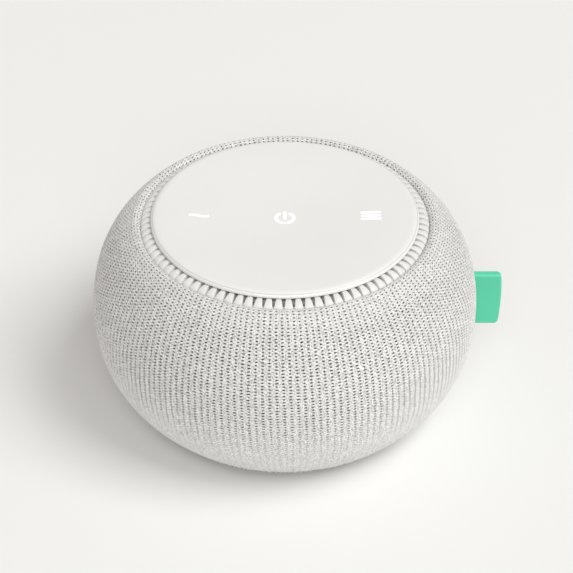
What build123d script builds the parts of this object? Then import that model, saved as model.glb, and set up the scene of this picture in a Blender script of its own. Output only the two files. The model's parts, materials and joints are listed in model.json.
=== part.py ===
"""White noise sound machine: a knit-covered shell that twists around a fixed drum with a fan inside.

Millimetres. The origin is the centre of the foot's underside, +Z up, +X towards the side tab,
-Y towards the user, and the power plug's recess at the rear (+Y).
"""

import math
import os

from build123d import *

os.makedirs("parts", exist_ok=True)

# ---------------------------------------------------------------- driving dimensions

# Outline of the knit cover: two superellipse quarters that meet at the widest height
BODY_R = 71.0
EQUATOR_Z = 40.1
UPPER_RISE = 52.8
UPPER_FULLNESS = 2.37
LOWER_DROP = 53.65
LOWER_FULLNESS = 2.11
RIM_ROUND = 1.8
HEM_Z = 3.5
FABRIC_T = 1.2
SHELL_WALL = 2.2

# Clearances
SKIN_GAP = 0.25
FIT = 0.1
SCREW_FIT = 0.05
RUN_GAP = 0.6
BASE_GAP = 0.6
END_GAP = 0.4
SHAFT_GAP = 0.02

# Shell halves
SPLIT_Z = 26.0
LAP = 4.0
FLANGE_Z = 10.0
FLANGE_T = 2.0
SOUND_SLOTS = 30
SLOT_W = 3.2
UPPER_SLOT_H = 12.0
UPPER_SLOT_DROP = 5.0
LOWER_SLOT_LOW = 14.5
LOWER_SLOT_HIGH = 21.5
LEDGE_DROP = 5.6

# Vent ring
RIBS = 92
RIB_TURN = -0.5
VENT_REACH = 3.5
VENT_CROWN = 2.2
VENT_DROP = 0.2
VENT_TUCK = 1.6
HOOP_T = 0.9
HOOP_H = 2.4
VENT_WALL = 1.4
VENT_FLANGE = 2.2
SLOT_IN_W = 1.85
SLOT_OUT_W = 1.0
VENT_SCREWS = 6

# Touch panel
PANEL_R = 48.5
PANEL_T = 2.4
PANEL_EDGE = 1.6
PANEL_ROLL = 2.6
PANEL_SIDE = 0.3
PANEL_OVERHANG = 3.3
PANEL_DISH = 1.4
ICON_INSET = 17.5
ICON_SHIFT = -1.2
ICON_STROKE = 1.1
POWER_R = 3.2
POWER_GAP = 36.0
POWER_BAR_LOW = -0.9
POWER_BAR_HIGH = 3.9
BAR_W = 7.2
BAR_PITCH = 1.95
WAVE_W = 6.9
WAVE_RISE = 0.35

# Panel carrier and what lies in it
LIGHT_BOX_T = 3.0
BOARD_T = 1.6
CARRIER_FLOOR = 2.0
CARRIER_WALL = 1.6
POST_H = 5.0
POST_R = 4.0
POST_AT = 30.0
LED_W = 2.0
LED_T = 0.8
GUIDE_L = 9.0
GUIDE_W = 8.6
CARRIER_HEAD_R = 2.3
CARRIER_HEAD_H = 1.3
CARRIER_SINK = 1.4
CARRIER_SCREW_L = 5.0

# Side tab
TAB_LOW = 30.7
TAB_HIGH = 53.5
TAB_REACH = 9.5
TAB_BOW = 0.6
TAB_T = 3.2
TAB_ROUND_TOP = 1.8
TAB_ROUND_FOOT = 1.7
TAB_EDGE = 0.9
ANCHOR_W = 10.0
ANCHOR_T = 2.4

# Drum, tone ring and twist
DRUM_WALL = 2.0
LID_T = 2.5
TONE_WALL = 1.8
TONE_FOOT = 5.6
TONE_FOOT_T = 1.6
TONE_SCREWS = 6
TONE_HEAD_R = 1.9
TONE_HEAD_H = 1.3
TONE_BITE = 1.5
TWIST = 20.0
WINDOWS = 9
WINDOW_W = 14.2
WINDOW_PHASE = 30.0
WINDOW_LOW = 36.0
WINDOW_DROP = 12.0
PIN_R = 1.0
PIN_ANGLE = 180.0
BOSS_R = 3.2
BOSS_GAP = 0.8
BOSS_ANGLE = 20.0
LID_BOSS_H = 9.0
LID_BOSS_SINK = 0.6
DECK_LEDGE_W = 2.5
DECK_LEDGE_T = 2.5

# Base
BASE_Z = 1.0
FLOOR_T = 3.0
BASE_WALL = 3.0
GLIDE_T = 0.8
FOOT_IN = 41.6
FOOT_OUT = 44.6
FOOT_GROOVE = 1.2
FOOT_ROUND = 0.5
BASE_CHAMFER = 0.8
PIN_HOLD = 3.0
PIN_CHAMFER = 0.3
COUNTERBORE_R = 3.0
COUNTERBORE_H = 1.8
BASE_SCREW_L = 12.0
BASE_HEAD_H = 1.6
CORD_W = 4.6
CORD_H = 4.0
RECESS_W = 13.0
RECESS_Y0 = 15.0
RECESS_Y1 = 36.0
RECESS_TOP = 12.0
RECESS_WALL = 2.0
JACK_Y = 24.0
JACK_R = 4.0
JACK_HEAD_R = 5.5
JACK_HEAD_T = 1.6
JACK_TOP = 20.5
JACK_END_T = 1.5
JACK_NUT_R = 6.2
JACK_NUT_T = 2.4
PLUG_R = 2.9
CONTACT_R = 1.0
WIRE_R = 0.65

# Electronics
MAIN_Z = 9.0
STANDOFF_R = 2.6
STANDOFF_INSET = 4.0
STANDOFF_ANGLES = (15, 140, 220, 300)
BOARD_HOLE_R = 1.2
BOARD_SHANK_R = 1.0
BOARD_HEAD_R = 2.0
BOARD_HEAD_H = 1.4
BOARD_BITE = 3.0
BOARD_KEEP = 0.6
RIBBON_W = 8.0
RIBBON_T = 0.3
RIBBON_ANGLE = 50.0
RIBBON_INSET = 0.8
RIBBON_TOP_INSET = 4.0
RIBBON_SLIT = 2.6
RIBBON_SOCKET_INSET = 5.0
SOCKET_H = 4.0
SOCKET_W = 3.2
RIBBON_BEND = 2.0
LEAD_R = 0.8
LEAD_GAP = 2.5
LEAD_SIDE = -6.0
LEAD_HOLE = 1.2
LEAD_BEND = 2.5
LEAD_SOCKET_W = 4.0
LEAD_SOCKET_L = 7.5
WIRE_BEND = 3.0

# Parts on the main board: where each stands, and its size
CHIP_AT = (-4, -6)
CHIP_W = 7.0
CHIP_H = 1.0
RADIO_AT = (-22, -4)
RADIO_L = 13.0
RADIO_W = 10.0
RADIO_H = 2.2
CHOKE_AT = (6, 6)
CHOKE_W = 6.0
CHOKE_H = 3.0
CAN_PLACES = ((14, -14), (6, -22))
CAN_R = 3.1
CAN_H = 7.0
DRIVER_AT = (-12, -20)
DRIVER_L = 5.0
DRIVER_W = 4.0
DRIVER_H = 1.6

# Motor and fan
DECK_Z = 26.0
DECK_T = 2.5
ISOLATOR_AT = 20.0
ISOLATOR_R = 4.5
ISOLATOR_NECK = 2.9
ISOLATOR_CAP = 2.0
ISOLATOR_FOOT = 1.5
ISOLATOR_BORE = 1.7
ISOLATOR_HEAD_R = 2.8
ISOLATORS = 3
ISOLATOR_TURN = 60
DECK_RIBS = 8
DECK_RIB_T = 1.4
PLATE_HOLE_R = 4.0
MOTOR_PLATE_R = 24.5
MOTOR_PLATE_T = 1.5
SHAFT_R = 1.5
BEARING_R = 3.0
BEARING_L = 12.2
TUBE_R = 4.2
TUBE_L = 17.3
TUBE_FLOOR = 0.8
TUBE_FLANGE_R = 7.5
TUBE_FLANGE_T = 1.0
PAD_T = 1.0
MOTOR_BOARD_T = 1.2
STATOR_R = 13.9
STATOR_H = 8.0
STATOR_LIFT = 6.0
POLES = 6
TOOTH_W = 2.6
TOOTH_GAP = 2.4
SHOE_T = 1.7
CORE_WALL = 2.6
COIL_T = 1.7
COIL_ROUND = 1.0
COIL_GAP = 0.6
AIR_GAP = 0.5
MAGNET_T = 1.2
MAGNET_OVER = 1.0
CUP_BORE_R = 4.1
CLIP_T = 0.5
CLIP_BITE = 0.3
CLIP_INSET = 0.5
CLIP_MOUTH = 1.6
CLIP_GAP = 0.7
CUP_WALL = 1.2
HUB_WALL = 1.6
HUB_CAP = 2.0
FAN_TIP_GAP = 5.0
FAN_PLATE_T = 1.6
FAN_LIFT = 3.8
BLADES = 11
BLADE_T = 1.6
BLADE_SWEEP = 38.0

# Screws that several joints share: fine ones in thin walls, coarse ones in bosses
FINE_R = 0.9
FINE_HOLE_R = 1.15
FINE_HEAD_R = 1.3
FINE_HEAD_H = 1.2
FINE_BITE = 1.8
COARSE_R = 1.25
COARSE_HOLE_R = 1.55
COARSE_HEAD_R = 2.6
COARSE_HEAD_H = 1.8
COARSE_BITE = 6.0

# ---------------------------------------------------------------- the cover's outline


def solve(function, low, high):
    """Root of a function that falls from positive at low to negative at high."""
    for _ in range(60):
        middle = (low + high) / 2
        if function(middle) > 0:
            low = middle
        else:
            high = middle
    return (low + high) / 2


def outer_side(height):
    """Cover's outer radius at a height, and its outward normal (radial, vertical)."""
    upper = height > EQUATOR_Z
    rise = UPPER_RISE if upper else LOWER_DROP
    fullness = UPPER_FULLNESS if upper else LOWER_FULLNESS
    level = abs(height - EQUATOR_Z) / rise
    radius = BODY_R * (1 - level**fullness) ** (1 / fullness)
    out = (radius / BODY_R) ** (fullness - 1) / BODY_R
    up = level ** (fullness - 1) / rise
    size = math.hypot(out, up)
    return radius, out / size, (up if upper else -up) / size


def side_radius(height, inset=0.0):
    """Radius at a height of the surface that lies inset below the cover's outside."""
    lowest = EQUATOR_Z - 0.98 * LOWER_DROP
    highest = EQUATOR_Z + 0.99 * UPPER_RISE
    at = solve(lambda h: height - h + inset * outer_side(h)[2], lowest, highest)
    radius, out, _ = outer_side(at)
    return radius - inset * out


def side_points(inset, low, high, count=14):
    """Points up the side between two heights, for a smooth curve through them."""
    levels = [low + (high - low) * step / (count - 1) for step in range(count)]
    return [(side_radius(level, inset), level) for level in levels]


# The rim: the arc that rolls the cover over into the vent ring
vent_r = PANEL_R + VENT_REACH
rim_r = vent_r + 2.5 * FIT + RIM_ROUND
rim_top = solve(
    lambda h: outer_side(h)[0] - RIM_ROUND * outer_side(h)[1] - rim_r,
    EQUATOR_Z,
    EQUATOR_Z + 0.99 * UPPER_RISE,
)
_, rim_out, rim_up = outer_side(rim_top)
rim_z = rim_top - RIM_ROUND * rim_up


def rim_point(radius, out, up):
    """Point on a circle around the rim's centre, in a direction (out, up)."""
    size = math.hypot(out, up)
    return (rim_r + radius * out / size, rim_z + radius * up / size)


# ---------------------------------------------------------------- levels, bottom to top

upright = (Align.CENTER, Align.CENTER, Align.MIN)

shell_inset = FABRIC_T + SKIN_GAP
inner_inset = shell_inset + SHELL_WALL
ledge_z = rim_z - LEDGE_DROP
lap_inset = shell_inset + SHELL_WALL / 2
tuck_in = rim_r - RIM_ROUND
tuck_out = tuck_in + FABRIC_T
tuck_end = ledge_z + SKIN_GAP
shell_rim_in = tuck_in + shell_inset
hem_in_r = side_radius(HEM_Z, inner_inset)

base_r = hem_in_r - BASE_GAP
base_wall_in = base_r - BASE_WALL
pin_at = base_r - BASE_WALL / 2
floor_z = BASE_Z + FLOOR_T
glide_z = FLANGE_Z - GLIDE_T
flange_top = FLANGE_Z + FLANGE_T

hoop_in = PANEL_R - VENT_TUCK - HOOP_T / 2
vent_in = hoop_in + HOOP_T
vent_wall_in = vent_r - VENT_WALL
vent_low = ledge_z - VENT_FLANGE
vent_top = rim_z + VENT_CROWN
rib_under = rim_z - HOOP_H
vent_screw_z = (tuck_end + rib_under) / 2
panel_edge_z = vent_top + END_GAP
panel_top = panel_edge_z + PANEL_EDGE
panel_seat = panel_top - PANEL_T
panel_seat_r = PANEL_R - PANEL_OVERHANG
touch_top = panel_seat - LIGHT_BOX_T
touch_z = touch_top - BOARD_T
carrier_z = touch_z - CARRIER_FLOOR
lid_top = carrier_z - POST_H
drum_top = lid_top - LID_T

deck_top = DECK_Z + DECK_T
motor_plate_z = deck_top + ISOLATOR_CAP
motor_z = motor_plate_z + MOTOR_PLATE_T
tube_top = motor_plate_z + TUBE_L
bearing_z = tube_top - TUBE_FLOOR - BEARING_L
clip_z = bearing_z - CLIP_GAP - CLIP_T
pad_top = motor_plate_z + TUBE_FLOOR + PAD_T
stator_z = motor_z + STATOR_LIFT
stator_top = stator_z + STATOR_H
cup_z = stator_top + COIL_T + 1.0
cup_top = cup_z + CUP_WALL
fan_z = motor_z + FAN_LIFT
hub_top = cup_top + HUB_CAP
blade_top = drum_top - LID_BOSS_H - 2.0

drum_r = base_wall_in - FIT
drum_in = drum_r - DRUM_WALL
boss_at = drum_in - BOSS_R - BOSS_GAP
lid_boss_at = drum_in - BOSS_R + LID_BOSS_SINK
window_high = drum_top - WINDOW_DROP
upper_slot_high = ledge_z - UPPER_SLOT_DROP
icon_x = PANEL_R - ICON_INSET

magnet_in = STATOR_R + AIR_GAP
magnet_out = magnet_in + MAGNET_T
cup_out = magnet_out + CUP_WALL
hub_in = cup_out + FIT
hub_out = hub_in + HUB_WALL
fan_r = drum_in - FAN_TIP_GAP

tone_in = drum_r + RUN_GAP
tone_out = tone_in + TONE_WALL
tone_screw_at = tone_out + 0.6 * TONE_FOOT
main_top = MAIN_Z + BOARD_T
main_r = boss_at - BOSS_R - BOSS_GAP
standoff_at = main_r - STANDOFF_INSET
standoff_places = [
    (standoff_at * math.cos(math.radians(angle)), standoff_at * math.sin(math.radians(angle)))
    for angle in STANDOFF_ANGLES
]
ribbon_socket_at = main_r - RIBBON_SOCKET_INSET
ribbon_r = drum_in - RIBBON_INSET
touch_r = panel_seat_r - CARRIER_WALL - FIT
ribbon_top_r = touch_r - RIBBON_TOP_INSET
channel_top = BASE_Z + CORD_H
lead_at = MOTOR_PLATE_R + LEAD_GAP

# ---------------------------------------------------------------- shared shapes


def ring(outer, inner, level):
    """Flat ring around the Z axis at a level, ready to extrude."""
    with BuildSketch(Plane.XY.offset(level)) as face:
        Circle(outer)
        if inner > 0:
            Circle(inner, mode=Mode.SUBTRACT)
    return face.sketch


def screw(head_r, head_h, shank_r, length):
    """Pan-head screw, its head standing on z = 0 and its shank below, with a cross recess."""
    with BuildPart() as body:
        Cylinder(head_r, head_h, align=upright)
        fillet(body.edges().sort_by(Axis.Z)[-1], head_h * 0.4)
        Cylinder(shank_r, length, align=(Align.CENTER, Align.CENTER, Align.MAX))
        chamfer(body.edges().sort_by(Axis.Z)[0], shank_r * 0.4)
        with BuildSketch(Plane.XY.offset(head_h)):
            Rectangle(head_r * 1.1, head_r * 0.26)
            Rectangle(head_r * 0.26, head_r * 1.1)
        extrude(amount=-head_h * 0.6, mode=Mode.SUBTRACT)
    return body.part


def stop_slot(level, width):
    """Arc notch in the turning flange's inner edge that the stop pin runs in."""
    with BuildSketch(Plane.XY.offset(level)) as slot:
        SlotArc(CenterArc((0, 0), pin_at, PIN_ANGLE, -TWIST), width)
        SlotArc(CenterArc((0, 0), pin_at - width / 2, PIN_ANGLE, -TWIST), width)
    return slot.sketch


def panel_body():
    """Section of the touch panel: dished top, rolled edge and a step under its overhang."""
    roll_z = panel_edge_z + PANEL_SIDE
    with BuildSketch(Plane.XZ) as face:
        with BuildLine():
            Polyline(
                (0, panel_top - PANEL_DISH),
                (0, panel_seat),
                (panel_seat_r, panel_seat),
                (panel_seat_r, panel_edge_z),
                (PANEL_R, panel_edge_z),
                (PANEL_R, roll_z),
            )
            EllipticalCenterArc(
                (PANEL_R - PANEL_ROLL, roll_z), PANEL_ROLL, panel_top - roll_z, start_angle=0, arc_size=90
            )
            Spline(
                (PANEL_R - PANEL_ROLL, panel_top),
                (0, panel_top - PANEL_DISH),
                tangents=[(-1, 0), (-1, 0)],
            )
        make_face()
    return face.sketch


def wave_icon(slack):
    """One wavy stroke: the quieter icon."""
    with BuildSketch(Plane.XY.offset(panel_seat)) as face:
        with BuildLine() as wave:
            Spline(
                (-icon_x - WAVE_W / 2, ICON_SHIFT),
                (-icon_x - WAVE_W / 4, ICON_SHIFT + WAVE_RISE),
                (-icon_x + WAVE_W / 4, ICON_SHIFT - WAVE_RISE),
                (-icon_x + WAVE_W / 2, ICON_SHIFT),
            )
        trace(wave.line, ICON_STROKE + 2 * slack)
    return face.sketch


def power_icon(slack):
    """Open ring with an upright bar: the on and off icon."""
    with BuildSketch(Plane.XY.offset(panel_seat)) as face:
        stroke = ICON_STROKE + 2 * slack
        SlotArc(CenterArc((0, ICON_SHIFT), POWER_R, 90 + POWER_GAP, 360 - 2 * POWER_GAP), stroke)
        with Locations((0, ICON_SHIFT + (POWER_BAR_LOW + POWER_BAR_HIGH) / 2)):
            SlotOverall(POWER_BAR_HIGH - POWER_BAR_LOW + 2 * slack, stroke, rotation=90)
    return face.sketch


def bars_icon(slack):
    """Three level bars: the louder icon."""
    with BuildSketch(Plane.XY.offset(panel_seat)) as face:
        with Locations((icon_x, ICON_SHIFT)):
            with GridLocations(1, BAR_PITCH, 1, 3):
                Rectangle(BAR_W + 2 * slack, ICON_STROKE + 2 * slack)
    return face.sketch


# ---------------------------------------------------------------- turning shell

with BuildPart() as fabric_sleeve:
    with BuildSketch(Plane.XZ):
        with BuildLine():
            inner_r = RIM_ROUND - FABRIC_T
            outer_side_line = Spline(*side_points(0, HEM_Z, rim_top))
            outer_rim = ThreePointArc(
                outer_side_line @ 1, rim_point(RIM_ROUND, 0, 1), rim_point(RIM_ROUND, -1, 0)
            )
            tuck = Line(outer_rim @ 1, (tuck_in, tuck_end))
            tuck_edge = Line(tuck @ 1, (tuck_out, tuck_end))
            back = Line(tuck_edge @ 1, rim_point(inner_r, -1, 0))
            inner_rim = ThreePointArc(
                back @ 1, rim_point(inner_r, 0, 1), rim_point(inner_r, rim_out, rim_up)
            )
            inner_points = side_points(FABRIC_T, HEM_Z, rim_top - FABRIC_T * rim_up)
            inner_side = Spline(*inner_points[:-1], inner_rim @ 1)
            Line(outer_side_line @ 0, inner_side @ 0)
        make_face()
    revolve(axis=Axis.Z)
    extrude(ring(side_radius(HEM_Z) - FIT, hem_in_r, HEM_Z), amount=FABRIC_T)
    with BuildSketch(Plane.YZ):
        with Locations((0, (TAB_LOW + TAB_HIGH) / 2)):
            Rectangle(TAB_T + 2 * FIT, TAB_HIGH - TAB_LOW + 2 * FIT)
    extrude(amount=BODY_R + 1, mode=Mode.SUBTRACT)
    with Locations((0, 0, vent_screw_z)):
        with PolarLocations((tuck_in + tuck_out) / 2, VENT_SCREWS):
            Cylinder(FINE_HOLE_R, 2 * FABRIC_T, rotation=(0, 90, 0), mode=Mode.SUBTRACT)
fabric_sleeve.part.label = "fabric_sleeve"

with BuildPart() as upper_shell:
    rebate_top = SPLIT_Z + LAP + FIT
    with BuildSketch(Plane.XZ):
        with BuildLine():
            outer_line = Spline(*side_points(shell_inset, SPLIT_Z, rim_top - shell_inset * rim_up))
            inner_line = Spline(*side_points(inner_inset, rebate_top, ledge_z))
            Polyline(outer_line @ 1, (shell_rim_in, rim_z), (shell_rim_in, ledge_z), inner_line @ 1)
            rebate_line = Spline(*side_points(lap_inset, SPLIT_Z, rebate_top, 5))
            Line(inner_line @ 0, rebate_line @ 1)
            Line(rebate_line @ 0, outer_line @ 0)
        make_face()
    revolve(axis=Axis.Z)
    slot_mid = upper_slot_high - UPPER_SLOT_H / 2
    with Locations((0, 0, slot_mid)):
        with PolarLocations(side_radius(slot_mid, shell_inset), SOUND_SLOTS, start_angle=180 / SOUND_SLOTS):
            Box(8 * SHELL_WALL, SLOT_W, UPPER_SLOT_H, mode=Mode.SUBTRACT)
    with Locations((BODY_R, 0, (TAB_LOW + TAB_HIGH) / 2)):
        Box(8 * SHELL_WALL, TAB_T + 2 * FIT, TAB_HIGH - TAB_LOW + 2 * FIT, mode=Mode.SUBTRACT)
    with Locations((0, 0, vent_screw_z)):
        with PolarLocations(shell_rim_in, VENT_SCREWS):
            Cylinder(FINE_R + SCREW_FIT, 2 * FINE_BITE, rotation=(0, 90, 0), mode=Mode.SUBTRACT)
upper_shell.part.label = "upper_shell"

with BuildPart() as lower_shell:
    shell_foot = HEM_Z + FABRIC_T + SKIN_GAP
    with BuildSketch(Plane.XZ):
        with BuildLine():
            outer_line = Spline(*side_points(shell_inset, shell_foot, SPLIT_Z))
            inner_line = Spline(*side_points(inner_inset, shell_foot, SPLIT_Z + LAP))
            lip_line = Spline(*side_points(lap_inset + FIT, SPLIT_Z, SPLIT_Z + LAP, 5))
            Line(outer_line @ 0, inner_line @ 0)
            Line(outer_line @ 1, lip_line @ 0)
            Line(lip_line @ 1, inner_line @ 1)
        make_face()
    revolve(axis=Axis.Z)
    # flange that glides on the base
    flange_out = side_radius(FLANGE_Z, (shell_inset + inner_inset) / 2)
    extrude(ring(flange_out, tone_in, FLANGE_Z), amount=FLANGE_T)
    extrude(stop_slot(FLANGE_Z, 2 * (PIN_R + END_GAP)), amount=FLANGE_T, mode=Mode.SUBTRACT)
    with Locations((0, 0, flange_top)):
        with PolarLocations(tone_screw_at, TONE_SCREWS):
            Cylinder(FINE_R + SCREW_FIT, 2 * TONE_BITE + FIT, mode=Mode.SUBTRACT)
    slot_mid = (LOWER_SLOT_LOW + LOWER_SLOT_HIGH) / 2
    with Locations((0, 0, slot_mid)):
        with PolarLocations(side_radius(slot_mid, shell_inset), SOUND_SLOTS, start_angle=180 / SOUND_SLOTS):
            Box(7 * SHELL_WALL, SLOT_W, LOWER_SLOT_HIGH - LOWER_SLOT_LOW, mode=Mode.SUBTRACT)
lower_shell.part.label = "lower_shell"

with BuildPart() as vent_ring:
    with BuildSketch(Plane.XZ):
        with BuildLine():
            crown = EllipticalCenterArc(
                (PANEL_R, rim_z + VENT_DROP),
                VENT_REACH,
                VENT_CROWN - VENT_DROP,
                start_angle=0,
                arc_size=90,
            )
            Polyline(
                crown @ 1,
                (hoop_in, vent_top),
                (hoop_in, rib_under),
                (vent_wall_in, rib_under),
                (vent_wall_in, vent_low),
                (vent_r, vent_low),
                crown @ 0,
            )
        make_face()
    revolve(axis=Axis.Z)
    # slots: a shallow cut over the whole reach, and a through cut between hoop and wall
    with BuildSketch(Plane.XY.offset(rim_z)):
        with PolarLocations(0, RIBS, start_angle=RIB_TURN):
            Polygon(
                (hoop_in - 1, SLOT_IN_W / 2),
                (hoop_in - 1, -SLOT_IN_W / 2),
                (vent_in, -SLOT_IN_W / 2),
                (vent_r + 1, -SLOT_OUT_W / 2),
                (vent_r + 1, SLOT_OUT_W / 2),
                (vent_in, SLOT_IN_W / 2),
                align=None,
            )
    extrude(amount=VENT_CROWN + 1, mode=Mode.SUBTRACT)
    with BuildSketch(Plane.XY.offset(rim_z)):
        with PolarLocations(0, RIBS, start_angle=RIB_TURN):
            Polygon(
                (vent_in, -SLOT_IN_W / 2),
                (vent_wall_in, -SLOT_OUT_W / 2),
                (vent_wall_in, SLOT_OUT_W / 2),
                (vent_in, SLOT_IN_W / 2),
                align=None,
            )
    extrude(amount=-HOOP_H, mode=Mode.SUBTRACT)
    # flange under the shell's ledge
    vent_flange_r = min(side_radius(vent_low, inner_inset), side_radius(ledge_z, inner_inset)) - 3 * FIT
    extrude(ring(vent_flange_r, vent_wall_in, vent_low), amount=VENT_FLANGE)
    with Locations((0, 0, vent_screw_z)):
        with PolarLocations(vent_wall_in, VENT_SCREWS):
            Cylinder(FINE_HOLE_R, 3 * VENT_WALL, rotation=(0, 90, 0), mode=Mode.SUBTRACT)
vent_ring.part.label = "vent_ring"

# from inside, through the ring's wall and the knit's tucked edge into the shell's rim
with BuildPart(Plane.XY.offset(vent_screw_z)) as vent_screws:
    vent_seat = (vent_wall_in**2 - FINE_HEAD_R**2) ** 0.5
    vent_screw_l = shell_rim_in - vent_seat + FINE_BITE - FIT
    with PolarLocations(vent_seat, VENT_SCREWS):
        add(screw(FINE_HEAD_R, FINE_HEAD_H, FINE_R, vent_screw_l).rotate(Axis.Y, -90))
vent_screws.part.label = "vent_screws"

with BuildPart() as side_tab:
    tab_mid = (TAB_LOW + TAB_HIGH) / 2
    anchor_side = min(side_radius(TAB_LOW, inner_inset), side_radius(TAB_HIGH, inner_inset))
    anchor_x = math.sqrt(anchor_side**2 - (ANCHOR_W / 2) ** 2) - 3 * FIT
    tab_end = BODY_R + TAB_REACH
    with BuildSketch(Plane.XZ) as blade:
        with BuildLine():
            edge = ThreePointArc(
                (tab_end - TAB_BOW, TAB_LOW), (tab_end, tab_mid), (tab_end - TAB_BOW, TAB_HIGH)
            )
            Polyline(edge @ 1, (anchor_x - 1, TAB_HIGH), (anchor_x - 1, TAB_LOW), edge @ 0)
        make_face()
        fillet(blade.vertices().group_by(Axis.X)[-1].sort_by(Axis.Y)[-1], TAB_ROUND_TOP)
        free_corners = blade.vertices().filter_by_position(Axis.X, BODY_R, tab_end)
        fillet(free_corners.sort_by(Axis.Y)[0], TAB_ROUND_FOOT)
    extrude(amount=TAB_T / 2, both=True)
    front, *_, back = side_tab.faces().sort_by(Axis.Y)
    rounded = front.edges() + back.edges()
    fillet(rounded.filter_by_position(Axis.X, BODY_R, tab_end), TAB_EDGE)
    with Locations((anchor_x - ANCHOR_T / 2, 0, tab_mid)):
        Box(ANCHOR_T, ANCHOR_W, TAB_HIGH - TAB_LOW)
side_tab.part.label = "side_tab"

with BuildPart() as tone_ring:
    tone_top = drum_top - END_GAP
    extrude(ring(tone_out, tone_in, flange_top), amount=tone_top - flange_top)
    extrude(ring(tone_out + TONE_FOOT, tone_in, flange_top), amount=TONE_FOOT_T)
    with Locations((0, 0, (WINDOW_LOW + window_high) / 2)):
        with PolarLocations(tone_out, WINDOWS, start_angle=WINDOW_PHASE):
            Box(4 * TONE_WALL, WINDOW_W, window_high - WINDOW_LOW, mode=Mode.SUBTRACT)
    with Locations((0, 0, flange_top)):
        with PolarLocations(tone_screw_at, TONE_SCREWS):
            Cylinder(FINE_HOLE_R, 3 * TONE_FOOT_T, mode=Mode.SUBTRACT)
tone_ring.part.label = "tone_ring"

with BuildPart(Plane.XY.offset(flange_top + TONE_FOOT_T)) as tone_screws:
    with PolarLocations(tone_screw_at, TONE_SCREWS):
        add(screw(TONE_HEAD_R, TONE_HEAD_H, FINE_R, TONE_FOOT_T + TONE_BITE))
tone_screws.part.label = "tone_screws"

# ---------------------------------------------------------------- base

with BuildPart() as base_housing:
    extrude(ring(base_r, 0, BASE_Z), amount=FLOOR_T)
    chamfer(base_housing.edges().sort_by(Axis.Z)[0], BASE_CHAMFER)
    extrude(ring(base_r, base_wall_in, floor_z), amount=glide_z - floor_z)
    recess_mid = (RECESS_Y0 + RECESS_Y1) / 2
    recess_l = RECESS_Y1 - RECESS_Y0
    # raised box over the plug's recess, and the raised roof over the cord's channel
    with Locations((0, recess_mid, floor_z)):
        Box(
            RECESS_W + 2 * RECESS_WALL,
            recess_l + 2 * RECESS_WALL,
            RECESS_TOP + RECESS_WALL - floor_z,
            align=upright,
        )
    roof_l = (base_wall_in + base_r) / 2 - RECESS_Y1
    with Locations((0, RECESS_Y1, floor_z)):
        Box(
            CORD_W + 2 * RECESS_WALL,
            roof_l,
            channel_top + RECESS_WALL - floor_z,
            align=(Align.CENTER, Align.MIN, Align.MIN),
        )
    with Locations((0, 0, floor_z)):
        with Locations(*standoff_places):
            Cylinder(STANDOFF_R, MAIN_Z - floor_z, align=upright)
    # cuts from below
    with Locations((0, recess_mid, BASE_Z)):
        Box(
            RECESS_W,
            recess_l,
            RECESS_TOP - BASE_Z,
            align=upright,
            mode=Mode.SUBTRACT,
        )
    with Locations((0, RECESS_Y1 - 1, BASE_Z)):
        Box(CORD_W, base_r, CORD_H, align=(Align.CENTER, Align.MIN, Align.MIN), mode=Mode.SUBTRACT)
    extrude(ring(FOOT_OUT + FIT, FOOT_IN - FIT, BASE_Z), amount=FOOT_GROOVE, mode=Mode.SUBTRACT)
    with Locations((0, JACK_Y, RECESS_TOP)):
        Cylinder(JACK_R + FIT, 3 * RECESS_WALL, mode=Mode.SUBTRACT)
    with Locations((0, 0, BASE_Z)):
        with PolarLocations(boss_at, 4, start_angle=BOSS_ANGLE):
            Cylinder(COARSE_HOLE_R, 3 * FLOOR_T, mode=Mode.SUBTRACT)
            Cylinder(COUNTERBORE_R, 2 * COUNTERBORE_H, mode=Mode.SUBTRACT)
    with Locations((0, 0, MAIN_Z)):
        with Locations(*standoff_places):
            Cylinder(BOARD_SHANK_R + SCREW_FIT, 2 * (BOARD_BITE + 1), mode=Mode.SUBTRACT)
    with PolarLocations(pin_at, 1, start_angle=PIN_ANGLE):
        with Locations((0, 0, glide_z)):
            Cylinder(PIN_R + SCREW_FIT, 2 * PIN_HOLD, mode=Mode.SUBTRACT)
base_housing.part.label = "base_housing"

with BuildPart() as foot_ring:
    extrude(ring(FOOT_OUT, FOOT_IN, 0), amount=BASE_Z + FOOT_GROOVE)
    fillet(foot_ring.edges().group_by(Axis.Z)[0], FOOT_ROUND)
    with Locations((0, FOOT_OUT, 0)):
        Box(CORD_W + 2 * FIT, 4 * (FOOT_OUT - FOOT_IN), 3 * (BASE_Z + FOOT_GROOVE), mode=Mode.SUBTRACT)
foot_ring.part.label = "foot_ring"

with BuildPart() as glide_ring:
    extrude(ring(base_r, base_wall_in, glide_z), amount=GLIDE_T)
    with PolarLocations(pin_at, 1, start_angle=PIN_ANGLE):
        with Locations((0, 0, glide_z)):
            Cylinder(PIN_R + SCREW_FIT, 2 * PIN_HOLD, mode=Mode.SUBTRACT)
glide_ring.part.label = "glide_ring"

with BuildPart(Plane.XY.offset(glide_z - PIN_HOLD)) as stop_pin:
    pin_l = flange_top - END_GAP - glide_z + PIN_HOLD
    with PolarLocations(pin_at, 1, start_angle=PIN_ANGLE):
        Cylinder(PIN_R, pin_l, align=upright)
    chamfer(stop_pin.edges().sort_by(Axis.Z)[-1], PIN_CHAMFER)
stop_pin.part.label = "stop_pin"

with BuildPart(Plane.XY.offset(BASE_Z + COUNTERBORE_H)) as base_screws:
    with PolarLocations(boss_at, 4, start_angle=BOSS_ANGLE):
        add(screw(COARSE_HEAD_R, BASE_HEAD_H, COARSE_R, BASE_SCREW_L).rotate(Axis.X, 180))
base_screws.part.label = "base_screws"

# ---------------------------------------------------------------- drum

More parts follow.
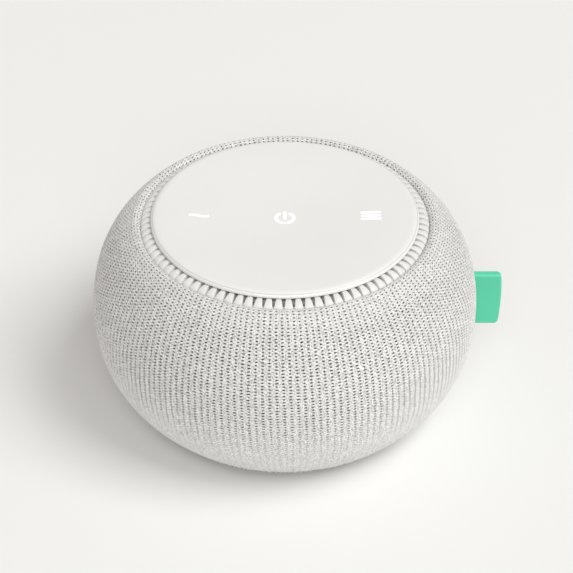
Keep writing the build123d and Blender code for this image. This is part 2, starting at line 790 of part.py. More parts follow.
with BuildPart() as drum:
    extrude(ring(drum_r, drum_in, floor_z), amount=drum_top - floor_z)
    # ledge under the motor deck
    deck_ledge_in = drum_in - DECK_LEDGE_W
    extrude(ring(drum_in + DRUM_WALL / 4, deck_ledge_in, DECK_Z - DECK_LEDGE_T), amount=DECK_LEDGE_T)
    with Locations((0, 0, floor_z)):
        with PolarLocations(boss_at, 4, start_angle=BOSS_ANGLE):
            Cylinder(BOSS_R, DECK_Z - floor_z, align=upright)
            Cylinder(
                COARSE_R + SCREW_FIT,
                DECK_Z - floor_z,
                align=upright,
                mode=Mode.SUBTRACT,
            )
    with Locations((0, 0, drum_top)):
        with PolarLocations(lid_boss_at, 4, start_angle=BOSS_ANGLE):
            Cylinder(BOSS_R, LID_BOSS_H, align=(Align.CENTER, Align.CENTER, Align.MAX))
            Cylinder(
                COARSE_R + SCREW_FIT,
                LID_BOSS_H,
                align=(Align.CENTER, Align.CENTER, Align.MAX),
                mode=Mode.SUBTRACT,
            )
    with Locations((0, 0, (WINDOW_LOW + window_high) / 2)):
        with PolarLocations(drum_r, WINDOWS, start_angle=WINDOW_PHASE):
            Box(4 * DRUM_WALL, WINDOW_W, window_high - WINDOW_LOW, mode=Mode.SUBTRACT)
    # notch over the cord's channel, and a slit for the ribbon through the ledge
    with Locations((0, drum_r, floor_z)):
        Box(
            CORD_W + 2 * RECESS_WALL + 4 * FIT,
            6 * DRUM_WALL,
            2 * (channel_top + RECESS_WALL + 2 * FIT - floor_z),
            mode=Mode.SUBTRACT,
        )
    with PolarLocations(deck_ledge_in, 1, start_angle=RIBBON_ANGLE):
        with Locations((0, 0, DECK_Z)):
            Box(4, RIBBON_W + 2, 4 * DECK_LEDGE_T, mode=Mode.SUBTRACT)
drum.part.label = "drum"

with BuildPart() as drum_lid:
    extrude(ring(tone_out, 0, drum_top), amount=LID_T)
    chamfer(drum_lid.edges().sort_by(Axis.Z)[-1], LID_T / 4)
    with Locations((0, 0, lid_top)):
        with PolarLocations(POST_AT, 4):
            Cylinder(POST_R, POST_H, align=upright)
            Cylinder(COARSE_R + SCREW_FIT, 2 * POST_H, mode=Mode.SUBTRACT)
        with PolarLocations(lid_boss_at, 4, start_angle=BOSS_ANGLE):
            Cylinder(COARSE_HOLE_R, 3 * LID_T, mode=Mode.SUBTRACT)
    with PolarLocations(drum_in - RIBBON_SLIT / 2, 1, start_angle=RIBBON_ANGLE):
        with Locations((0, 0, drum_top)):
            Box(RIBBON_SLIT, RIBBON_W + 2, 3 * LID_T, mode=Mode.SUBTRACT)
drum_lid.part.label = "drum_lid"

with BuildPart(Plane.XY.offset(lid_top)) as lid_screws:
    with PolarLocations(lid_boss_at, 4, start_angle=BOSS_ANGLE):
        add(screw(COARSE_HEAD_R, COARSE_HEAD_H, COARSE_R, LID_T + COARSE_BITE))
lid_screws.part.label = "lid_screws"

with BuildPart() as motor_deck:
    extrude(ring(drum_in - 2 * FIT, 0, DECK_Z), amount=DECK_T)
    with Locations((0, 0, DECK_Z)):
        with PolarLocations(ISOLATOR_AT, ISOLATORS, start_angle=ISOLATOR_TURN):
            Cylinder(ISOLATOR_NECK + FIT, 3 * DECK_T, mode=Mode.SUBTRACT)
        with PolarLocations(boss_at, 4, start_angle=BOSS_ANGLE):
            Cylinder(COARSE_HOLE_R, 3 * DECK_T, mode=Mode.SUBTRACT)
        with Locations((lead_at, LEAD_SIDE)):
            Cylinder(LEAD_R + LEAD_HOLE, 3 * DECK_T, mode=Mode.SUBTRACT)
        with PolarLocations(drum_in, 1, start_angle=RIBBON_ANGLE):
            Box(2 * RIBBON_SLIT, RIBBON_W + 2, 3 * DECK_T, mode=Mode.SUBTRACT)
    # stiffening ribs
    with BuildSketch(Plane.XY.offset(deck_top)):
        rib_turn = BOSS_ANGLE + 180 / DECK_RIBS
        with PolarLocations((MOTOR_PLATE_R + boss_at) / 2, DECK_RIBS, start_angle=rib_turn):
            Rectangle(boss_at - MOTOR_PLATE_R - 4, DECK_RIB_T)
    extrude(amount=DECK_RIB_T)
motor_deck.part.label = "motor_deck"

with BuildPart(Plane.XY.offset(deck_top)) as deck_screws:
    with PolarLocations(boss_at, 4, start_angle=BOSS_ANGLE):
        add(screw(COARSE_HEAD_R, COARSE_HEAD_H, COARSE_R, DECK_T + COARSE_BITE))
deck_screws.part.label = "deck_screws"

# ---------------------------------------------------------------- motor, fixed half

with BuildPart() as isolators:
    with Locations((0, 0, DECK_Z)):
        with PolarLocations(ISOLATOR_AT, ISOLATORS, start_angle=ISOLATOR_TURN):
            Cylinder(ISOLATOR_R, ISOLATOR_FOOT, align=(Align.CENTER, Align.CENTER, Align.MAX))
            Cylinder(ISOLATOR_NECK, DECK_T, align=upright)
    with Locations((0, 0, deck_top)):
        with PolarLocations(ISOLATOR_AT, ISOLATORS, start_angle=ISOLATOR_TURN):
            Cylinder(ISOLATOR_R, ISOLATOR_CAP, align=upright)
            Cylinder(ISOLATOR_BORE, 4 * (DECK_T + ISOLATOR_CAP), mode=Mode.SUBTRACT)
isolators.part.label = "isolators"

with BuildPart() as motor_plate:
    extrude(ring(MOTOR_PLATE_R, TUBE_R + SCREW_FIT, motor_plate_z), amount=MOTOR_PLATE_T)
    with Locations((0, 0, motor_plate_z)):
        with PolarLocations(ISOLATOR_AT, ISOLATORS, start_angle=ISOLATOR_TURN):
            Cylinder(COARSE_R + SCREW_FIT, 3 * MOTOR_PLATE_T, mode=Mode.SUBTRACT)
        with PolarLocations(ISOLATOR_AT - PLATE_HOLE_R, ISOLATORS):
            Cylinder(PLATE_HOLE_R, 3 * MOTOR_PLATE_T, mode=Mode.SUBTRACT)
motor_plate.part.label = "motor_plate"

with BuildPart(Plane.XY.offset(DECK_Z - ISOLATOR_FOOT)) as isolator_screws:
    isolator_screw_l = motor_z - DECK_Z + ISOLATOR_FOOT
    with PolarLocations(ISOLATOR_AT, ISOLATORS, start_angle=ISOLATOR_TURN):
        add(screw(ISOLATOR_HEAD_R, COARSE_HEAD_H, COARSE_R, isolator_screw_l).rotate(Axis.X, 180))
isolator_screws.part.label = "isolator_screws"

with BuildPart() as bearing_tube:
    extrude(ring(TUBE_R, 0, motor_plate_z), amount=TUBE_L)
    extrude(ring(TUBE_FLANGE_R, 0, motor_z), amount=TUBE_FLANGE_T)
    extrude(
        ring(BEARING_R + SHAFT_GAP, 0, motor_plate_z + TUBE_FLOOR), amount=TUBE_L, mode=Mode.SUBTRACT
    )
bearing_tube.part.label = "bearing_tube"

with BuildPart() as sleeve_bearing:
    extrude(ring(BEARING_R, SHAFT_R + SHAFT_GAP, bearing_z), amount=BEARING_L)
sleeve_bearing.part.label = "sleeve_bearing"

with BuildPart() as thrust_pad:
    extrude(ring(BEARING_R - SCREW_FIT, 0, pad_top - PAD_T), amount=PAD_T)
thrust_pad.part.label = "thrust_pad"

with BuildPart() as motor_board:
    extrude(ring(STATOR_R, TUBE_R + 2 * FIT, motor_z + TUBE_FLANGE_T), amount=MOTOR_BOARD_T)
motor_board.part.label = "motor_board"

with BuildPart() as stator_core:
    shoe_in = STATOR_R - SHOE_T
    with BuildSketch(Plane.XY.offset(stator_z)):
        Circle(STATOR_R)
        Circle(shoe_in, mode=Mode.SUBTRACT)
        with PolarLocations(STATOR_R, POLES, start_angle=180 / POLES):
            Rectangle(4 * SHOE_T, TOOTH_GAP, mode=Mode.SUBTRACT)
        with PolarLocations(STATOR_R / 2, POLES):
            Rectangle(STATOR_R - 1, TOOTH_W)
        Circle(TUBE_R + CORE_WALL)
        Circle(TUBE_R + SCREW_FIT, mode=Mode.SUBTRACT)
    extrude(amount=STATOR_H)
stator_core.part.label = "stator_core"

with BuildPart(Plane.XY.offset(stator_z + STATOR_H / 2)) as stator_coils:
    coil_in = TUBE_R + CORE_WALL + COIL_GAP
    coil_out = shoe_in - COIL_GAP
    with PolarLocations((coil_in + coil_out) / 2, POLES):
        Box(coil_out - coil_in, TOOTH_W + 2 * COIL_T, STATOR_H + 2 * COIL_T)
    lengthwise = stator_coils.edges().filter_by(lambda edge: abs(edge.length - coil_out + coil_in) < FIT)
    fillet(lengthwise, COIL_ROUND)
    with PolarLocations((coil_in + coil_out) / 2, POLES):
        Box(STATOR_R, TOOTH_W + 2 * FIT, STATOR_H + 2 * FIT, mode=Mode.SUBTRACT)
stator_coils.part.label = "stator_coils"

# ---------------------------------------------------------------- fan, turning half of the motor

with BuildPart() as rotor_cup:
    extrude(ring(cup_out, magnet_out + SHAFT_GAP, fan_z), amount=cup_top - fan_z)
    extrude(ring(cup_out, CUP_BORE_R, cup_z), amount=CUP_WALL)
rotor_cup.part.label = "rotor_cup"

with BuildPart() as rotor_magnet:
    extrude(ring(magnet_out, magnet_in, stator_z - MAGNET_OVER), amount=STATOR_H + 2 * MAGNET_OVER)
rotor_magnet.part.label = "rotor_magnet"

with BuildPart() as motor_shaft:
    extrude(ring(SHAFT_R, 0, pad_top), amount=hub_top - pad_top)
    clip_groove = ring(SHAFT_R + 1, SHAFT_R - CLIP_BITE, clip_z - SCREW_FIT)
    extrude(clip_groove, amount=CLIP_T + 2 * SCREW_FIT, mode=Mode.SUBTRACT)
motor_shaft.part.label = "motor_shaft"

with BuildPart() as shaft_clip:
    extrude(ring(BEARING_R - CLIP_INSET, SHAFT_R - CLIP_BITE + SCREW_FIT, clip_z), amount=CLIP_T)
    with Locations((BEARING_R, 0, clip_z)):
        Box(2 * (BEARING_R - CLIP_BITE), CLIP_MOUTH, 4 * CLIP_T, mode=Mode.SUBTRACT)
shaft_clip.part.label = "shaft_clip"

with BuildPart() as impeller:
    extrude(ring(hub_out, hub_in, fan_z), amount=hub_top - fan_z)
    extrude(ring(hub_out, SHAFT_R + SHAFT_GAP, cup_top), amount=HUB_CAP)
    extrude(ring(CUP_BORE_R - SHAFT_GAP, SHAFT_R + SHAFT_GAP, cup_z), amount=CUP_WALL + HUB_CAP)
    extrude(ring(fan_r, hub_in + HUB_WALL / 2, fan_z), amount=FAN_PLATE_T)
    root_r = hub_in + HUB_WALL / 2
    tip_r = fan_r - 0.3
    mid_r = (root_r + tip_r) / 2
    sweep_at = math.radians(BLADE_SWEEP)
    with BuildSketch(mode=Mode.PRIVATE) as one_blade:
        with BuildLine() as blade_line:
            ThreePointArc(
                (root_r, 0),
                (mid_r * math.cos(0.36 * sweep_at), mid_r * math.sin(0.36 * sweep_at)),
                (tip_r * math.cos(sweep_at), tip_r * math.sin(sweep_at)),
            )
        trace(blade_line.line, BLADE_T)
    with BuildSketch(Plane.XY.offset(fan_z)):
        with PolarLocations(0, BLADES):
            add(one_blade.sketch)
    extrude(amount=blade_top - fan_z)
    extrude(ring(hub_in, SHAFT_R + 5, fan_z), amount=cup_top - fan_z, mode=Mode.SUBTRACT)
impeller.part.label = "impeller"

# ---------------------------------------------------------------- electronics

with BuildPart() as main_board:
    with BuildSketch(Plane.XY.offset(MAIN_Z)):
        Circle(main_r)
        with Locations((0, RECESS_Y0 + main_r / 2 - RECESS_WALL - BOARD_KEEP)):
            Rectangle(RECESS_W + 2 * RECESS_WALL + 2 * BOARD_KEEP, main_r, mode=Mode.SUBTRACT)
        with Locations(*standoff_places):
            Circle(BOARD_HOLE_R, mode=Mode.SUBTRACT)
    extrude(amount=BOARD_T)
main_board.part.label = "main_board"

with BuildPart(Plane.XY.offset(main_top)) as board_parts:
    with Locations(CHIP_AT):
        Box(CHIP_W, CHIP_W, CHIP_H, align=upright)
    with Locations(RADIO_AT):
        Box(RADIO_L, RADIO_W, RADIO_H, align=upright)
    with Locations(CHOKE_AT):
        Box(CHOKE_W, CHOKE_W, CHOKE_H, align=upright)
    with Locations(*CAN_PLACES):
        Cylinder(CAN_R, CAN_H, align=upright)
    with Locations(DRIVER_AT):
        Box(DRIVER_L, DRIVER_W, DRIVER_H, align=upright)
    with Locations((lead_at, LEAD_SIDE)):
        Box(LEAD_SOCKET_W, LEAD_SOCKET_L, SOCKET_H, align=upright)
    with PolarLocations(ribbon_socket_at, 1, start_angle=RIBBON_ANGLE):
        Box(SOCKET_W, RIBBON_W + 2, SOCKET_H, align=upright)
board_parts.part.label = "board_parts"

with BuildPart(Plane.XY.offset(main_top)) as board_screws:
    with Locations(*standoff_places):
        add(screw(BOARD_HEAD_R, BOARD_HEAD_H, BOARD_SHANK_R, BOARD_T + BOARD_BITE))
board_screws.part.label = "board_screws"

with BuildPart() as power_jack:
    jack_low = RECESS_TOP - JACK_HEAD_T
    with Locations((0, JACK_Y, jack_low)):
        Cylinder(JACK_HEAD_R, JACK_HEAD_T, align=upright)
        Cylinder(JACK_R, JACK_TOP - jack_low, align=upright)
        Cylinder(PLUG_R, JACK_TOP - jack_low - JACK_END_T, align=upright, mode=Mode.SUBTRACT)
        Cylinder(CONTACT_R + SCREW_FIT, JACK_TOP - jack_low, align=upright, mode=Mode.SUBTRACT)
power_jack.part.label = "power_jack"

with BuildPart(Plane.XY.offset(jack_low + 1.0)) as jack_contact:
    with Locations((0, JACK_Y)):
        Cylinder(CONTACT_R, JACK_TOP - jack_low, align=upright)
jack_contact.part.label = "jack_contact"

with BuildPart() as jack_nut:
    with BuildSketch(Plane.XY.offset(RECESS_TOP + RECESS_WALL)):
        with Locations((0, JACK_Y)):
            RegularPolygon(JACK_NUT_R, 6)
            Circle(JACK_R + SCREW_FIT, mode=Mode.SUBTRACT)
    extrude(amount=JACK_NUT_T)
jack_nut.part.label = "jack_nut"

with BuildPart() as jack_leads:
    lead_z = JACK_TOP + 1.0 + WIRE_R
    lead_end = RECESS_Y0 - 4
    with BuildLine() as lead_path:
        FilletPolyline(
            (0, JACK_Y, lead_z), (0, lead_end, lead_z), (0, lead_end, main_top), radius=WIRE_BEND
        )
    with BuildSketch(Plane((0, JACK_Y, lead_z), x_dir=(1, 0, 0), z_dir=(0, -1, 0))):
        with GridLocations(2 * WIRE_R + 2 * FIT, 1, 2, 1):
            Circle(WIRE_R)
    sweep(path=lead_path.line)
jack_leads.part.label = "jack_leads"

with BuildPart() as motor_lead:
    lead_top = motor_z + LEAD_R + 2 * FIT
    with BuildLine() as motor_path:
        FilletPolyline(
            (STATOR_R + FIT, LEAD_SIDE, lead_top),
            (lead_at, LEAD_SIDE, lead_top),
            (lead_at, LEAD_SIDE, main_top + SOCKET_H),
            radius=LEAD_BEND,
        )
    with BuildSketch(Plane((STATOR_R + FIT, LEAD_SIDE, lead_top), z_dir=(1, 0, 0))):
        Circle(LEAD_R)
    sweep(path=motor_path.line)
motor_lead.part.label = "motor_lead"

with BuildPart() as touch_ribbon:
    radial = Plane(
        (0, 0, 0),
        x_dir=(math.cos(math.radians(RIBBON_ANGLE)), math.sin(math.radians(RIBBON_ANGLE)), 0),
        z_dir=(math.sin(math.radians(RIBBON_ANGLE)), -math.cos(math.radians(RIBBON_ANGLE)), 0),
    )
    jog_z = (lid_top + carrier_z) / 2
    bend_z = main_top + SOCKET_H + 3
    with BuildSketch(radial):
        with BuildLine() as ribbon_line:
            Line((ribbon_top_r, touch_z), (ribbon_top_r, carrier_z))
            Bezier((ribbon_top_r, carrier_z), (ribbon_top_r, jog_z), (ribbon_r, jog_z), (ribbon_r, lid_top))
            FilletPolyline(
                (ribbon_r, lid_top),
                (ribbon_r, bend_z),
                (ribbon_socket_at, bend_z),
                (ribbon_socket_at, main_top + SOCKET_H),
                radius=RIBBON_BEND,
            )
        trace(ribbon_line.line, RIBBON_T)
    extrude(amount=RIBBON_W / 2, both=True)
touch_ribbon.part.label = "touch_ribbon"

# ---------------------------------------------------------------- panel carrier and touch panel

with BuildPart() as panel_carrier:
    extrude(ring(panel_seat_r, 0, carrier_z), amount=CARRIER_FLOOR)
    extrude(ring(panel_seat_r, panel_seat_r - CARRIER_WALL, touch_z), amount=panel_seat - touch_z)
    with Locations((0, 0, carrier_z)):
        with PolarLocations(POST_AT, 4):
            Cylinder(COARSE_HOLE_R, 3 * CARRIER_FLOOR, mode=Mode.SUBTRACT)
    with Locations((0, 0, touch_z)):
        with PolarLocations(POST_AT, 4):
            Cylinder(CARRIER_HEAD_R + 2 * FIT, 2 * CARRIER_SINK, mode=Mode.SUBTRACT)
    with PolarLocations(ribbon_top_r, 1, start_angle=RIBBON_ANGLE):
        with Locations((0, 0, carrier_z)):
            Box(RIBBON_SLIT, RIBBON_W + 1, 3 * CARRIER_FLOOR, mode=Mode.SUBTRACT)
panel_carrier.part.label = "panel_carrier"

with BuildPart(Plane.XY.offset(touch_z - CARRIER_SINK)) as carrier_screws:
    with PolarLocations(POST_AT, 4):
        add(screw(CARRIER_HEAD_R, CARRIER_HEAD_H, COARSE_R, CARRIER_SCREW_L))
carrier_screws.part.label = "carrier_screws"

with BuildPart() as touch_board:
    extrude(ring(touch_r, 0, touch_z), amount=BOARD_T)
touch_board.part.label = "touch_board"

icon_places = [(-icon_x, ICON_SHIFT), (0, ICON_SHIFT), (icon_x, ICON_SHIFT)]

with BuildPart(Plane.XY.offset(touch_top)) as status_leds:
    with Locations(*icon_places):
        Box(LED_W, LED_W, LED_T, align=upright)
status_leds.part.label = "status_leds"

with BuildPart() as light_box:
    extrude(ring(touch_r, 0, touch_top), amount=LIGHT_BOX_T)
    with BuildSketch(Plane.XY.offset(touch_top)):
        with Locations(*icon_places):
            Rectangle(GUIDE_L + 2 * FIT, GUIDE_W + 2 * FIT)
    extrude(amount=LIGHT_BOX_T, mode=Mode.SUBTRACT)
light_box.part.label = "light_box"

with BuildPart() as light_guides:
    with BuildSketch(Plane.XY.offset(touch_top + LED_T + FIT)):
        with Locations(*icon_places):
            Rectangle(GUIDE_L, GUIDE_W)
    extrude(amount=panel_seat - touch_top - LED_T - FIT)
light_guides.part.label = "light_guides"

with BuildPart() as touch_panel:
    revolve(panel_body(), axis=Axis.Z)
    extrude(wave_icon(SCREW_FIT), amount=2 * PANEL_T, mode=Mode.SUBTRACT)
    extrude(power_icon(SCREW_FIT), amount=2 * PANEL_T, mode=Mode.SUBTRACT)
    extrude(bars_icon(SCREW_FIT), amount=2 * PANEL_T, mode=Mode.SUBTRACT)
touch_panel.part.label = "touch_panel"

with BuildPart() as icon_low:
    revolve(panel_body(), axis=Axis.Z)
    extrude(wave_icon(0), amount=2 * PANEL_T, mode=Mode.INTERSECT)
icon_low.part.label = "icon_low"

with BuildPart() as icon_power:
    revolve(panel_body(), axis=Axis.Z)
    extrude(power_icon(0), amount=2 * PANEL_T, mode=Mode.INTERSECT)
icon_power.part.label = "icon_power"

with BuildPart() as icon_high:
    revolve(panel_body(), axis=Axis.Z)
    extrude(bars_icon(0), amount=2 * PANEL_T, mode=Mode.INTERSECT)
icon_high.part.label = "icon_high"

# ---------------------------------------------------------------- files

pieces = [
    fabric_sleeve,
    upper_shell,
    lower_shell,
    vent_ring,
    vent_screws,
    side_tab,
    tone_ring,
    tone_screws,
    base_housing,
    foot_ring,
    glide_ring,
    stop_pin,
    base_screws,
    drum,
    drum_lid,
    lid_screws,
    motor_deck,
    deck_screws,
    isolators,
    isolator_screws,
    motor_plate,
    bearing_tube,
    sleeve_bearing,
    thrust_pad,
    motor_board,
    stator_core,
    stator_coils,
    rotor_cup,
    rotor_magnet,
    motor_shaft,
    shaft_clip,
    impeller,
    main_board,
    board_parts,
    board_screws,
    power_jack,
    jack_contact,
    jack_nut,
    jack_leads,
    motor_lead,
    touch_ribbon,
    panel_carrier,
    carrier_screws,
    touch_board,
    status_leds,
    light_box,
    light_guides,
    touch_panel,
    icon_low,
    icon_power,
    icon_high,
]

for piece in pieces:
    export_step(piece.part, f"parts/{piece.part.label}.step")

print(f"panel top {panel_top:.2f}, rim centre ({rim_r:.2f}, {rim_z:.2f}), base radius {base_r:.2f}")
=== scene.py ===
"""Looks of the white noise sound machine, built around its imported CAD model.

Metres, in the CAD model's own frame: origin at the centre of the foot's underside, +Z up,
+X towards the side tab, -Y towards the user.
"""

import json
import math

import bmesh
import bpy
import numpy as np
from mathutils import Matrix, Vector

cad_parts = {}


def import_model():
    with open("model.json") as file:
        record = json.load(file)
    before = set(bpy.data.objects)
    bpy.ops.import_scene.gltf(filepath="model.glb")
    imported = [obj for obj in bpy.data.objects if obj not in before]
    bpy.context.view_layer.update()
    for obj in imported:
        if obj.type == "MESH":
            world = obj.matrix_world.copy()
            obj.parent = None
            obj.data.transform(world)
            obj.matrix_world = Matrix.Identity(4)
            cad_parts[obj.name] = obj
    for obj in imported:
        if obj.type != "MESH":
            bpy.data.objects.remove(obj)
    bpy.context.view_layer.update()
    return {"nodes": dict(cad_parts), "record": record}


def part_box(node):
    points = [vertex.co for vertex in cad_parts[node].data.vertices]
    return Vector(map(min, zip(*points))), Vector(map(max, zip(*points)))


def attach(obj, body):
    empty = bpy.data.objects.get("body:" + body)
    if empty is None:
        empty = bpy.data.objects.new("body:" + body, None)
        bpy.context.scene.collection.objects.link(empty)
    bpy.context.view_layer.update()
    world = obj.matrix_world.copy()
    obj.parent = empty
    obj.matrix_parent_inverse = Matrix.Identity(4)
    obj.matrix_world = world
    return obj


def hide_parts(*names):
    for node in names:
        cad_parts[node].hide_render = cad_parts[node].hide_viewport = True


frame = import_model()

MM = 0.001
TURN = 2 * math.pi

# ---------------------------------------------------------------- sizes, in metres

# The knit cover's outline: two superellipse quarters that meet at the widest height
BODY_R = 71.0 * MM
EQUATOR_Z = 40.1 * MM
UPPER_RISE = 52.8 * MM
UPPER_FULLNESS = 2.37
LOWER_DROP = 53.65 * MM
LOWER_FULLNESS = 2.11
HEM_Z = 3.5 * MM
HEM_ROUND = 1.0 * MM
HEM_IN_R = 47.9 * MM
HEM_LIFT = 0.1 * MM
RIM_ROUND = 1.8 * MM
RIM_R = 54.05 * MM
RIM_TOP = 77.768 * MM
TUCK_DEPTH = 5.1 * MM

# In how many steps each stretch of the outline is sampled
HEM_STEPS = 40
BEND_STEPS = 12
SIDE_STEPS = 600
RIM_STEPS = 60
TUCK_STEPS = 40

# The knit: columns of loops up the side, rows round it
COLUMNS = 180
ROW_PITCH = 1.2 * MM
STEPS_PER_LOOP = 4
SPIRAL = math.radians(-2.6)
HOLE_DEPTH = 0.38 * MM
SMALL_HOLE_DEPTH = 0.2 * MM
LOOP_RISE = 0.1 * MM
# its relief is full from this height up, and fades towards the foot
RELIEF_Z = 44.0 * MM
RELIEF_FADE = 24.0 * MM
RELIEF_LEAST = 0.15

# Where the panel's flat top meets its rolled edge, and how far the painted shade along that crease fades
# inwards and outwards
PANEL_LINE_R = 47.85 * MM
LINE_IN = 0.35 * MM
LINE_OUT = 0.2 * MM

# The slotted ring between the knit and the panel
RIBS = 92
RIB_TURN = math.radians(-0.5)
RING_IN_R = 46.35 * MM
HOOP_R = 47.25 * MM
CROWN_R = 48.5 * MM
WALL_R = 50.6 * MM
RING_R = 52.15 * MM
CROWN_DROP = 2.0 * MM
HOOP_DROP = 2.2 * MM
SLOT_IN_W = 1.85 * MM
SLOT_OUT_W = 0.45 * MM
SLOT_DEPTH = 2.6 * MM
SLOT_SHALLOW = 1.4 * MM
SLOT_FADE = 0.35
SLOT_OPEN_TO = math.radians(15)
SLOT_SHALLOW_FROM = math.radians(50)
RIB_ROUND = 0.3 * MM
RIB_BEVEL = 0.3 * RIB_ROUND
RIB_UNDER = 4.6 * MM
FLANGE_T = 2.2 * MM
FLAT_STATIONS = 4
CROWN_STATIONS = 18
SECTION_POINTS = 9

# Points nearer than this are one point; edges sharper than this stay sharp
WELD = 1e-7
SHARP = math.radians(40)

# The photograph's camera
PHOTO_PX = 573
FOCAL_PX = 1873.0
CAMERA_RANGE = 0.7
CAMERA_RISE = math.radians(37.85)
CAMERA_TARGET = Vector((0, 0, 0.04))
SHIFT_PX = (-1.6, 15.2)
SENSOR_MM = 36.0

# The colour and strength with which the surroundings light the object, and with which they are seen
SKY_LIGHT = (0.35, 0.325, 0.31, 1.0)
SKY_SEEN = (0.87, 0.87, 0.86, 1.0)

# Square lamps: each one's turn about Z and rise in degrees, and its power in watts
LAMPS = {"key": (-24.0, 55.0, 860.0), "front": (-90.0, 40.0, 540.0)}
LAMP_AWAY = 12.0
LAMP_SIZE = 6.8
LAMP_COLOUR = (0.97, 0.988, 1.0)
FLOOR_HALF = 3.0

# ---------------------------------------------------------------- material nodes


class Nodes:
    """A material's node tree, with short calls that add a node and link what it is given."""

    def __init__(self, name):
        self.material = bpy.data.materials.new(name)
        self.material.use_nodes = True
        self.tree = self.material.node_tree
        self.tree.nodes.clear()
        self.out = self.add("ShaderNodeOutputMaterial")

    def add(self, kind, **settings):
        node = self.tree.nodes.new(kind)
        for key, value in settings.items():
            setattr(node, key, value)
        return node

    def put(self, socket, value):
        """Links a socket's value, or sets it if it is a plain number or colour."""
        if isinstance(value, bpy.types.NodeSocket):
            self.tree.links.new(value, socket)
        elif value is not None:
            socket.default_value = value

    def math(self, operation, a, b=None, c=None, clamp=False):
        node = self.add("ShaderNodeMath", operation=operation, use_clamp=clamp)
        for socket, value in zip(node.inputs, (a, b, c)):
            self.put(socket, value)
        return node.outputs[0]

    def times(self, a, b):
        return self.math("MULTIPLY", a, b)

    def without(self, value):
        """What is left of 1."""
        return self.math("SUBTRACT", 1.0, value)

    def ramp(self, value, low, high, out_low=0.0, out_high=1.0, smooth=True):
        node = self.add("ShaderNodeMapRange", interpolation_type="SMOOTHSTEP" if smooth else "LINEAR")
        for name, number in (
            ("Value", value),
            ("From Min", low),
            ("From Max", high),
            ("To Min", out_low),
            ("To Max", out_high),
        ):
            self.put(node.inputs[name], number)
        return node.outputs[0]

    def mix(self, factor, a, b):
        node = self.add("ShaderNodeMix", data_type="RGBA")
        self.put(node.inputs["Factor"], factor)
        self.put(node.inputs["A"], a)
        self.put(node.inputs["B"], b)
        return node.outputs["Result"]

    def place(self):
        """The point in the row frame, in metres, as every piece's object sits at the origin."""
        return self.add("ShaderNodeTexCoord").outputs["Object"]

    def split(self, vector):
        """The X, Y and Z of a vector."""
        node = self.add("ShaderNodeSeparateXYZ")
        self.put(node.inputs[0], vector)
        return node.outputs

    def noise(self, scale, detail=2.0, roughness=0.5):
        node = self.add("ShaderNodeTexNoise")
        self.put(node.inputs["Vector"], self.place())
        self.put(node.inputs["Scale"], scale)
        self.put(node.inputs["Detail"], detail)
        self.put(node.inputs["Roughness"], roughness)
        return node.outputs["Fac"]

    def bump(self, height, distance):
        node = self.add("ShaderNodeBump")
        self.put(node.inputs["Height"], height)
        self.put(node.inputs["Distance"], distance)
        self.put(node.inputs["Strength"], 1.0)
        return node.outputs["Normal"]

    def principled(self, **values):
        node = self.add("ShaderNodeBsdfPrincipled")
        for name, value in values.items():
            self.put(node.inputs[name.replace("_", " ")], value)
        self.tree.links.new(node.outputs[0], self.out.inputs["Surface"])


def rgb(red, green, blue):
    """Linear colour from 0 to 255 screen values."""

    def linear(value):
        value /= 255
        return value / 12.92 if value <= 0.04045 else ((value + 0.055) / 1.055) ** 2.4

    return (linear(red), linear(green), linear(blue), 1.0)


def dimmed(colour, share):
    return tuple(channel * share for channel in colour[:3]) + (1.0,)


def moulded(name, colour, roughness=0.45, grain=0.012 * MM, mottle=0.04):
    """Moulded plastic: fine spark-eroded grain and a faint change of tone."""
    n = Nodes(name)
    tone = n.noise(60.0, 3.0)
    n.principled(
        Base_Color=n.mix(tone, dimmed(colour, 1 - 2 * mottle), colour),
        Roughness=n.ramp(n.noise(900.0), 0.3, 0.7, roughness - 0.06, roughness + 0.06),
        Normal=n.bump(n.noise(4200.0, 1.0), grain),
    )
    return n.material


def glossy_panel():
    """Gloss-painted panel: a fine groove with painted shade in it runs round it where the flat top meets the
    rolled edge.
    """
    n = Nodes("panel_gloss")
    place = n.split(n.place())
    away = n.math("SQRT", n.math("ADD", n.times(place[0], place[0]), n.times(place[1], place[1])))
    # the thin ring of painted shade along the crease
    before = n.ramp(away, PANEL_LINE_R - LINE_IN, PANEL_LINE_R)
    beyond = n.ramp(away, PANEL_LINE_R, PANEL_LINE_R + LINE_OUT)
    crease_shade = n.math("SUBTRACT", before, beyond)
    tone = n.mix(n.noise(60.0, 3.0), rgb(235, 234, 231), rgb(239, 238, 236))
    n.principled(
        # painted shade: the crease is darkened towards grey
        Base_Color=n.mix(n.times(crease_shade, 0.5), tone, rgb(176, 172, 166)),
        Roughness=n.ramp(n.noise(400.0), 0.3, 0.7, 0.3, 0.34),
        Coat_Weight=0.1,
        Coat_Roughness=0.12,
        Normal=n.bump(n.without(crease_shade), 0.05 * MM),
    )
    return n.material


def icon_glow():
    """Frosted icon lit from behind."""
    n = Nodes("icon_glow")
    n.principled(
        Base_Color=(1.0, 1.0, 1.0, 1.0),
        Roughness=n.ramp(n.noise(700.0), 0.3, 0.7, 0.25, 0.35),
        Emission_Color=(1.0, 1.0, 1.0, 1.0),
        Emission_Strength=0.35,
    )
    return n.material


def metal(name, colour, roughness=0.3):
    """Turned metal: fine streaks in tone and roughness."""
    n = Nodes(name)
    streaks = n.noise(1400.0)
    n.principled(
        Base_Color=n.mix(streaks, dimmed(colour, 0.82), colour),
        Metallic=1.0,
        Roughness=n.ramp(streaks, 0.2, 0.8, roughness - 0.08, roughness + 0.1),
        Normal=n.bump(streaks, 0.01 * MM),
    )
    return n.material


